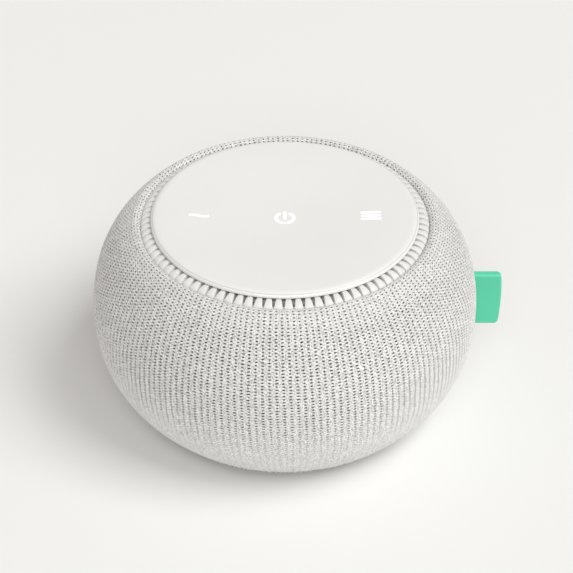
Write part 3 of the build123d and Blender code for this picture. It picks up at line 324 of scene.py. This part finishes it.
def circuit_board(name):
    """Green solder mask over copper tracks that show as a paler grid."""
    n = Nodes(name)
    place = n.split(n.place())
    tracks = []
    for axis, pitch in ((0, 2.1 * MM), (1, 2.7 * MM)):
        wave = n.math("FRACT", n.math("DIVIDE", place[axis], pitch))
        tracks.append(n.math("LESS_THAN", wave, 0.22))
    track = n.times(n.math("MAXIMUM", *tracks), n.ramp(n.noise(220.0), 0.48, 0.52))
    n.principled(
        Base_Color=n.mix(track, rgb(18, 78, 46), rgb(38, 112, 66)),
        Roughness=0.32,
        Normal=n.bump(track, 0.035 * MM),
    )
    return n.material


# ---------------------------------------------------------------- the knit's material

# The knit's colours; the low colour and the two hole colours are painted shade
YARN_LIGHT = rgb(255, 255, 254)
YARN_DULL = rgb(243, 242, 240)
YARN_SHADED = rgb(178, 173, 169)
YARN_LOW_SHADE = rgb(153, 148, 145)
FLECK = rgb(153, 148, 146)
SMALL_HOLE_SHADE = rgb(70, 65, 62)
BIG_HOLE_SHADE = rgb(28, 24, 22)


def crest(n, value):
    """1 at whole numbers, 0 half-way between them."""
    return n.math("MULTIPLY_ADD", n.math("COSINE", n.times(value, TURN)), 0.5, 0.5)


def dice(n, across, along, half):
    """A random number for each hole of the whole or of the half rows and columns."""
    joined = n.add("ShaderNodeCombineXYZ")
    n.put(joined.inputs[0], n.math("FLOOR", n.math("ADD", across, half)))
    n.put(joined.inputs[1], n.math("FLOOR", n.math("ADD", along, half)))
    n.put(joined.inputs[2], half)
    random = n.add("ShaderNodeTexWhiteNoise", noise_dimensions="3D")
    n.put(random.inputs["Vector"], joined.outputs[0])
    return random.outputs["Value"]


def knit_net(n, across, along, both_off, stretched):
    """How high the yarns stand: two sets that cross at a slant, filled in between at the small holes."""
    over = n.math("SUBTRACT", crest(n, along), crest(n, across))
    left = n.without(crest(n, n.math("ADD", across, along)))
    right = n.without(crest(n, n.math("SUBTRACT", across, along)))
    left = n.times(left, n.math("MULTIPLY_ADD", over, 0.3, 0.7))
    right = n.times(right, n.math("MULTIPLY_ADD", over, -0.3, 0.7))
    filled = n.times(both_off, n.math("MULTIPLY_ADD", stretched, -0.45, 0.75))
    return n.math("ADD", n.math("MAXIMUM", left, right), filled, clamp=True)


def knit_yarn(n, net, opened, rim_closed_and_lit):
    """The yarns' colour: worn patches, shaded plies, painted shade where they lie low between them, the
    plies painted lighter near the rim as if lit from above, and flecks of fuzz.
    """
    pale = n.mix(n.ramp(n.noise(420.0, 3.0, 0.6), 0.35, 0.65), YARN_DULL, YARN_LIGHT)
    shade = n.mix(n.ramp(n.noise(2000.0, 2.0, 0.65), 0.33, 0.58), YARN_SHADED, pale)
    # painted light: near the rim the shaded plies are lifted towards pale, as if lit from above
    shade = n.mix(n.times(rim_closed_and_lit, 0.6), shade, pale)
    # painted shade where the yarns lie low between them, less of it towards the foot where the holes are
    # closed
    closed = n.math("MULTIPLY_ADD", opened, -0.6, 0.6)
    low = n.mix(n.ramp(n.math("ADD", net, closed), 0.1, 0.62), YARN_LOW_SHADE, shade)
    fuzz = n.noise(2300.0, 3.0, 0.7)
    return fuzz, n.mix(n.ramp(fuzz, 0.35, 0.6, 0.26, 0.0), low, FLECK)


def knit_material():
    """Stretched knit: pale yarns that cross at a slant, with painted shade for a dark hole in each mesh of
    their net.
    """
    n = Nodes("knit")
    counted = n.add("ShaderNodeAttribute", attribute_type="GEOMETRY", attribute_name="loops")
    loops = n.split(counted.outputs["Vector"])
    sway = n.times(n.math("SUBTRACT", n.noise(520.0, 2.0, 0.6), 0.5), 0.5)
    across = n.math("ADD", loops[0], sway)
    along = n.math("ADD", loops[1], n.times(sway, 0.8))
    column, row = crest(n, across), crest(n, along)
    both_on = n.times(column, row)
    both_off = n.times(n.without(column), n.without(row))
    # the painted shade of the holes grows with height; where the knit rolls over the rim it is pulled
    # together again, and there its plies are also painted lighter as if lit from above
    height = n.split(n.place())[2]
    rim_closed_and_lit = n.ramp(height, 70 * MM, 77 * MM, 0.0, 0.4)
    opened = n.times(n.ramp(height, 20 * MM, 46 * MM, 0.2, 1.0), n.math("MULTIPLY_ADD", rim_closed_and_lit, -0.5, 1.0))
    # the painted shade of the small holes shows only where the knit is stretched over the shoulder
    stretched = n.ramp(height, 40 * MM, 74 * MM)
    uneven = n.ramp(dice(n, across, along, 0.5), 0.0, 1.0, 0.65, 1.0, smooth=False)
    # painted shade: the holes' dark colour stands for the shade inside them
    big = n.times(n.times(n.ramp(both_on, 0.47, 0.81), uneven), opened)
    small = n.times(n.ramp(both_off, 0.6, 0.92), dice(n, across, along, 0.0))
    small = n.times(small, n.math("MULTIPLY_ADD", stretched, 0.3, 0.12))
    small = n.times(small, n.without(rim_closed_and_lit))
    net = knit_net(n, across, along, both_off, stretched)
    fuzz, yarn = knit_yarn(n, net, opened, rim_closed_and_lit)
    n.principled(
        Base_Color=n.mix(big, n.mix(small, yarn, SMALL_HOLE_SHADE), BIG_HOLE_SHADE),
        Roughness=0.85,
        Specular_IOR_Level=0.3,
        Sheen_Weight=0.6,
        Sheen_Roughness=0.5,
        Normal=n.bump(n.math("ADD", net, n.times(fuzz, 0.5)), 0.2 * MM),
    )
    return n.material


# ---------------------------------------------------------------- shapes


def new_object(name, vertices, faces, material, smooth=True):
    mesh = bpy.data.meshes.new(name)
    mesh.from_pydata([tuple(map(float, v)) for v in vertices], [], [tuple(map(int, f)) for f in faces])
    mesh.validate()
    if smooth:
        mesh.polygons.foreach_set("use_smooth", [True] * len(mesh.polygons))
    mesh.update()
    mesh.materials.append(material)
    piece = bpy.data.objects.new(name, mesh)
    bpy.context.scene.collection.objects.link(piece)
    return piece


def tube_faces(rows, columns):
    """Quads of a grid of points, row by row, whose last column joins the first."""
    row, column = np.meshgrid(np.arange(rows - 1), np.arange(columns), indexing="ij")
    after = (column + 1) % columns
    corners = (
        row * columns + column,
        row * columns + after,
        (row + 1) * columns + after,
        (row + 1) * columns + column,
    )
    return np.stack([c.ravel() for c in corners], axis=1)


def outline_point(height):
    """The cover's outer radius at a height and its outward normal (radial, vertical)."""
    upper = height > EQUATOR_Z
    rise = UPPER_RISE if upper else LOWER_DROP
    fullness = UPPER_FULLNESS if upper else LOWER_FULLNESS
    level = abs(height - EQUATOR_Z) / rise
    radius = BODY_R * (1 - level**fullness) ** (1 / fullness)
    out = (radius / BODY_R) ** (fullness - 1) / BODY_R
    up = level ** (fullness - 1) / rise
    size = math.hypot(out, up)
    return radius, out / size, (up if upper else -up) / size


def bend(centre_r, centre_z, radius, start, end, steps):
    """Points of an arc from one angle up to another, each with its normal."""
    for step in range(steps):
        at = start + (end - start) * step / steps
        out, up = math.cos(at), math.sin(at)
        yield centre_r + radius * out, centre_z + radius * up, out, up


def cover_path():
    """Fine points (radius, height) and their normals along the cover, from its hem to its tuck."""
    hem_r, hem_out, hem_up = outline_point(HEM_Z + HEM_ROUND)
    bend_r = hem_r - HEM_ROUND * hem_out
    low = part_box("fabric_sleeve")[0].z + HEM_LIFT
    hem_w = bend_r - HEM_IN_R
    points = [(HEM_IN_R + hem_w * step / HEM_STEPS, low, 0.0, -1.0) for step in range(HEM_STEPS)]
    points += bend(bend_r, low + HEM_ROUND, HEM_ROUND, -math.pi / 2, math.atan2(hem_up, hem_out), BEND_STEPS)
    side_low = points[-1][1] + HEM_LIFT
    for step in range(SIDE_STEPS):
        height = side_low + (RIM_TOP - side_low) * step / SIDE_STEPS
        radius, out, up = outline_point(height)
        points.append((radius, height, out, up))
    _, rim_out, rim_up = outline_point(RIM_TOP)
    rim_z = RIM_TOP - RIM_ROUND * rim_up
    points += bend(RIM_R, rim_z, RIM_ROUND, math.atan2(rim_up, rim_out), math.pi, RIM_STEPS)
    for step in range(TUCK_STEPS + 1):
        points.append((RIM_R - RIM_ROUND, rim_z - TUCK_DEPTH * step / TUCK_STEPS, -1.0, 0.0))
    return np.array(points)


def write_loops(mesh, rows, columns):
    """Writes each face corner's place in the knit, in loops, and its place in the bake's picture."""
    vertex = np.empty(len(mesh.loops), dtype=np.int32)
    mesh.loops.foreach_get("vertex_index", vertex)
    row, column = vertex // columns, (vertex % columns).reshape(-1, 4)
    # the seam's last column of faces runs on to a whole turn
    at_seam = (column == 0) & (column.max(axis=1, keepdims=True) == columns - 1)
    column = np.where(at_seam, columns, column).ravel()
    loops = np.stack([column / STEPS_PER_LOOP, row / STEPS_PER_LOOP, np.zeros(len(row))], axis=1)
    attribute = mesh.attributes.new("loops", "FLOAT_VECTOR", "CORNER")
    attribute.data.foreach_set("vector", loops.astype(np.float32).ravel())
    bake = mesh.uv_layers.new(name="OFBake")
    uv = np.stack([column / columns, row / (rows - 1)], axis=1)
    bake.data.foreach_set("uv", uv.astype(np.float32).ravel())


def knit_cover():
    """The stretched knit over the whole side, each loop's holes pushed into its mesh."""
    path = cover_path()
    lengths = np.r_[0, np.cumsum(np.hypot(*np.diff(path[:, :2], axis=0).T))]
    rows = round(lengths[-1] / ROW_PITCH) * STEPS_PER_LOOP + 1
    columns = COLUMNS * STEPS_PER_LOOP
    along = np.linspace(0, lengths[-1], rows)
    radius, height, out, up = (np.interp(along, lengths, path[:, k]) for k in range(4))
    size = np.hypot(out, up)
    out, up = out / size, up / size
    v, u = np.meshgrid(np.arange(rows) / STEPS_PER_LOOP, np.arange(columns) / STEPS_PER_LOOP, indexing="ij")
    column, row = (1 + np.cos(TURN * u)) / 2, (1 + np.cos(TURN * v)) / 2
    big, small = column * row, (1 - column) * (1 - row)
    yarns = 1 - np.minimum(np.cos(TURN * (u + v)), np.cos(TURN * (u - v)))
    relief = np.clip(1 - (RELIEF_Z - height) / RELIEF_FADE, RELIEF_LEAST, 1.0)[:, None]
    push = relief * (LOOP_RISE * yarns / 2 - HOLE_DEPTH * big**2 - SMALL_HOLE_DEPTH * small**2)
    angle = TURN * u / COLUMNS + SPIRAL * (along / lengths[-1] - 0.5)[:, None]
    r = radius[:, None] + push * out[:, None]
    z = height[:, None] + push * up[:, None]
    vertices = np.stack([r * np.cos(angle), r * np.sin(angle), z], axis=-1).reshape(-1, 3)
    piece = new_object("knit_cover", vertices, tube_faces(rows, columns), knit_material())
    write_loops(piece.data, rows, columns)
    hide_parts("fabric_sleeve")
    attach(piece, "shell")


def joined_up(piece):
    """Merges points that coincide, turns faces outwards and keeps real edges sharp."""
    shape = bmesh.new()
    shape.from_mesh(piece.data)
    bmesh.ops.remove_doubles(shape, verts=shape.verts, dist=WELD)
    bmesh.ops.dissolve_degenerate(shape, edges=shape.edges, dist=WELD)
    bmesh.ops.recalc_face_normals(shape, faces=shape.faces)
    shape.to_mesh(piece.data)
    shape.free()
    piece.data.set_sharp_from_angle(angle=SHARP)


class Skin:
    """Points that are found by name, and faces between them."""

    def __init__(self):
        self.vertices, self.index, self.faces = [], {}, []

    def point(self, key, radius, angle, height):
        self.index[key] = len(self.vertices)
        self.vertices.append((radius * math.cos(angle), radius * math.sin(angle), height))

    def face(self, *keys):
        self.faces.append([self.index[key] for key in keys])

    def quad(self, here, there, first, second):
        """A face between two lines of points, from the first to the second point of each."""
        self.face((*here, *first), (*here, *second), (*there, *second), (*there, *first))


def ring_stations(top):
    """Stations along the ribs' tops: radius, height, normal, slot floor's depth, and if the slot is open."""
    stations = [(radius, top, 0.0, 1.0, HOOP_DROP, False) for radius in (RING_IN_R, HOOP_R)]
    for radius in np.linspace(HOOP_R, CROWN_R, FLAT_STATIONS):
        stations.append((radius, top, 0.0, 1.0, SLOT_DEPTH, True))
    reach = RING_R - CROWN_R
    for turn in np.linspace(0, math.pi / 2, CROWN_STATIONS + 1)[1:]:
        radius = CROWN_R + reach * math.sin(turn)
        height = top - CROWN_DROP * (1 - math.cos(turn))
        out, up = math.sin(turn) / reach, math.cos(turn) / CROWN_DROP
        size = math.hypot(out, up)
        rise = min(max((turn - SLOT_OPEN_TO) / (SLOT_SHALLOW_FROM - SLOT_OPEN_TO), 0.0), 1.0)
        fade = min(max((turn - SLOT_SHALLOW_FROM) / (math.pi / 2 - SLOT_SHALLOW_FROM), 0.0), 1.0)
        shallow = SLOT_SHALLOW * (1 - SLOT_FADE * fade)
        depth = shallow + (SLOT_DEPTH - SLOT_SHALLOW) * (1 - rise * rise * (3 - 2 * rise))
        stations.append((radius, height, out / size, up / size, depth, turn <= SLOT_OPEN_TO))
    return stations


def rib_section(radius, depth):
    """A rib's section at a radius: each point's place across the rib and its drop below the rib's top."""
    outward = (radius - RING_IN_R) / (RING_R - RING_IN_R)
    slot_w = SLOT_IN_W - (SLOT_IN_W - SLOT_OUT_W) * outward
    half = (TURN / RIBS * radius - slot_w) / 2
    side = [(half, depth), (half, RIB_ROUND), (half - RIB_BEVEL, RIB_BEVEL), (half - RIB_ROUND, 0.0)]
    section = [(-across, drop) for across, drop in side] + [(0.0, 0.0)] + side[::-1]
    return [(across, min(drop, depth)) for across, drop in section]


def place_ribs(skin, stations, under):
    """The points of every rib's top and underside at every station."""
    for row, (radius, height, out, up, depth, _) in enumerate(stations):
        section = rib_section(radius, depth)
        for rib in range(RIBS):
            for k, (across, drop) in enumerate(section):
                angle = RIB_TURN + (rib + 0.5) * TURN / RIBS + across / radius
                skin.point(("top", row, rib, k), radius - out * drop, angle, height - up * drop)
                skin.point(("low", row, rib, k), radius, angle, under)


def cover_ribs(skin, stations, last_low):
    """The ribs' tops and undersides, the slots' floors, and the walls of the slots that are open."""
    last = SECTION_POINTS - 1
    for rib in range(RIBS):
        beside = (rib + 1) % RIBS
        for row in range(len(stations) - 1):
            after = row + 1
            is_open = stations[row][5] and stations[after][5]
            spans = [((rib, k), (rib, k + 1)) for k in range(last)]
            if not is_open:
                spans.append(((rib, last), (beside, 0)))
            for first, second in spans:
                skin.quad(("top", row), ("top", after), first, second)
                if after <= last_low:
                    skin.quad(("low", row), ("low", after), first, second)
            if is_open:
                for k in (0, last):
                    skin.quad(("top",), ("low",), (row, rib, k), (after, rib, k))
            if row and (stations[row - 1][5] and stations[row][5]) != is_open:
                skin.quad(("top",), ("low",), (row, rib, last), (row, beside, 0))
        front = [("top", 0, rib, k) for k in range(SECTION_POINTS)]
        skin.face(*front, ("low", 0, rib, last), ("low", 0, rib, 0))
        skin.quad(("top",), ("low",), (0, rib, last), (0, beside, 0))


def cover_foot(skin, last_row, plain):
    """Below the ribs the ring is plain: outer side, flange and inner side."""
    for step, (radius, height) in enumerate(plain):
        for rib in range(RIBS):
            for k in range(SECTION_POINTS):
                x, y, _ = skin.vertices[skin.index["top", last_row, rib, k]]
                skin.point(("plain", step, rib, k), radius, math.atan2(y, x), height)
    for rib in range(RIBS):
        for step in range(len(plain)):
            here = ("plain", step - 1) if step else ("top", last_row)
            for k in range(SECTION_POINTS):
                second = (rib, k + 1) if k + 1 < SECTION_POINTS else ((rib + 1) % RIBS, 0)
                skin.quad(here, ("plain", step), (rib, k), second)


def vent_ring():
    """The slotted ring: ribs with rounded tops that roll down to the knit, and slots open to the inside."""
    low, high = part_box("vent_ring")
    under = high.z - RIB_UNDER
    stations = ring_stations(high.z)
    last_low = max(row for row, station in enumerate(stations) if station[0] <= WALL_R)
    flange_z = low.z + FLANGE_T
    plain = [
        (RING_R, flange_z),
        (high.x, flange_z),
        (high.x, low.z),
        (WALL_R, low.z),
        (stations[last_low][0], under),
    ]
    skin = Skin()
    place_ribs(skin, stations, under)
    cover_ribs(skin, stations, last_low)
    cover_foot(skin, len(stations) - 1, plain)
    piece = new_object("ribbed_ring", skin.vertices, skin.faces, RIB_PLASTIC)
    joined_up(piece)
    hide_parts("vent_ring")
    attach(piece, "shell")


# ---------------------------------------------------------------- materials of the CAD nodes

WHITE_PLASTIC = moulded("white_plastic", rgb(232, 231, 229))
RIB_PLASTIC = moulded("rib_plastic", rgb(234, 233, 230), roughness=0.5)
BLACK_PLASTIC = moulded("black_plastic", rgb(26, 26, 28), roughness=0.35)

SLOT_MATERIALS = {
    "knit": WHITE_PLASTIC,
    "shell_plastic": WHITE_PLASTIC,
    "vent_plastic": RIB_PLASTIC,
    "panel_gloss": glossy_panel(),
    "icon_white": icon_glow(),
    "tab_green": moulded("tab_green", rgb(88, 211, 171), roughness=0.42, grain=0.02 * MM, mottle=0.05),
    "base_plastic": moulded("base_plastic", rgb(222, 222, 221)),
    "foot_rubber": moulded("foot_rubber", rgb(96, 97, 99), roughness=0.8),
    "drum_plastic": moulded("drum_plastic", rgb(214, 215, 217)),
    "glide_plastic": moulded("slick_plastic", rgb(238, 238, 232), roughness=0.25),
    "steel": metal("steel", rgb(190, 190, 192)),
    "screw_steel": metal("screw_steel", rgb(176, 176, 178), roughness=0.35),
    "bronze": metal("bronze", rgb(186, 142, 88)),
    "copper": metal("copper", rgb(196, 112, 66), roughness=0.28),
    "magnet": metal("magnet", rgb(86, 86, 90), roughness=0.5),
    "fan_plastic": moulded("fan_plastic", rgb(58, 60, 64)),
    "soft_mount": moulded("soft_mount", rgb(44, 44, 46), roughness=0.8),
    "board_green": circuit_board("circuit_board"),
    "chip_black": BLACK_PLASTIC,
    "jack_black": BLACK_PLASTIC,
    "wire_red": moulded("wire_red", rgb(170, 30, 26), roughness=0.5),
    "film_amber": moulded("film_amber", rgb(196, 128, 44), roughness=0.3),
    "clear_plastic": moulded("frosted", rgb(236, 240, 242), roughness=0.3),
    "led_white": moulded("led_lens", rgb(244, 240, 210), roughness=0.2),
}


def dress_nodes():
    """Gives every CAD node the material of its slot in the record."""
    slots = {part["node"]: part["material_slot"] for part in frame["record"]["subparts"]}
    for name, node in frame["nodes"].items():
        node.data.materials.clear()
        node.data.materials.append(SLOT_MATERIALS[slots[name]])


# ---------------------------------------------------------------- stage, light, camera


def floor():
    n = Nodes("floor")
    n.principled(Base_Color=n.mix(n.noise(2.0), rgb(240, 240, 238), rgb(242, 242, 240)), Roughness=0.9)
    corners = [(x * FLOOR_HALF, y * FLOOR_HALF, 0) for x, y in ((-1, -1), (1, -1), (1, 1), (-1, 1))]
    piece = new_object("floor", corners, [(0, 1, 2, 3)], n.material, smooth=False)


def put_at(item, back, away):
    """Places a lamp or camera away from the camera's target, facing it."""
    item.location = CAMERA_TARGET + away * back
    item.rotation_mode = "QUATERNION"
    item.rotation_quaternion = back.to_track_quat("Z", "Y")
    bpy.context.scene.collection.objects.link(item)


def area_light(name, turn, rise, power):
    """Square lamp that faces the object, placed by its turn about Z and its rise."""
    lamp = bpy.data.lights.new(name, "AREA")
    lamp.shape = "SQUARE"
    lamp.size = LAMP_SIZE
    lamp.energy = power
    lamp.color = LAMP_COLOUR
    turn, rise = math.radians(turn), math.radians(rise)
    back = Vector((math.cos(rise) * math.cos(turn), math.cos(rise) * math.sin(turn), math.sin(rise)))
    put_at(bpy.data.objects.new(name, lamp), back, LAMP_AWAY)


def world():
    """Even pale surroundings, seen brighter than they light the object, also in gloss and through glass."""
    studio = bpy.data.worlds.new("studio")
    studio.use_nodes = True
    tree = studio.node_tree
    path = tree.nodes.new("ShaderNodeLightPath")
    seen = path.outputs["Is Camera Ray"]
    for kind in ("Is Glossy Ray", "Is Transmission Ray"):
        either = tree.nodes.new("ShaderNodeMath")
        either.operation = "MAXIMUM"
        tree.links.new(seen, either.inputs[0])
        tree.links.new(path.outputs[kind], either.inputs[1])
        seen = either.outputs[0]
    blend = tree.nodes.new("ShaderNodeMix")
    blend.data_type = "RGBA"
    tree.links.new(seen, blend.inputs["Factor"])
    blend.inputs["A"].default_value = SKY_LIGHT
    blend.inputs["B"].default_value = SKY_SEEN
    tree.links.new(blend.outputs["Result"], tree.nodes["Background"].inputs["Color"])
    bpy.context.scene.world = studio


def lights():
    for name, (turn, rise, power) in LAMPS.items():
        area_light(name, turn, rise, power)
    world()
    bpy.context.scene.view_settings.view_transform = "Standard"


def camera():
    data = bpy.data.cameras.new("camera")
    data.sensor_width = SENSOR_MM
    data.lens = FOCAL_PX / PHOTO_PX * SENSOR_MM
    data.shift_x = -SHIFT_PX[0] / PHOTO_PX
    data.shift_y = SHIFT_PX[1] / PHOTO_PX
    eye = bpy.data.objects.new("camera", data)
    put_at(eye, Vector((0, -math.cos(CAMERA_RISE), math.sin(CAMERA_RISE))), CAMERA_RANGE)
    bpy.context.scene.camera = eye


dress_nodes()
knit_cover()
vent_ring()
floor()
lights()
camera()
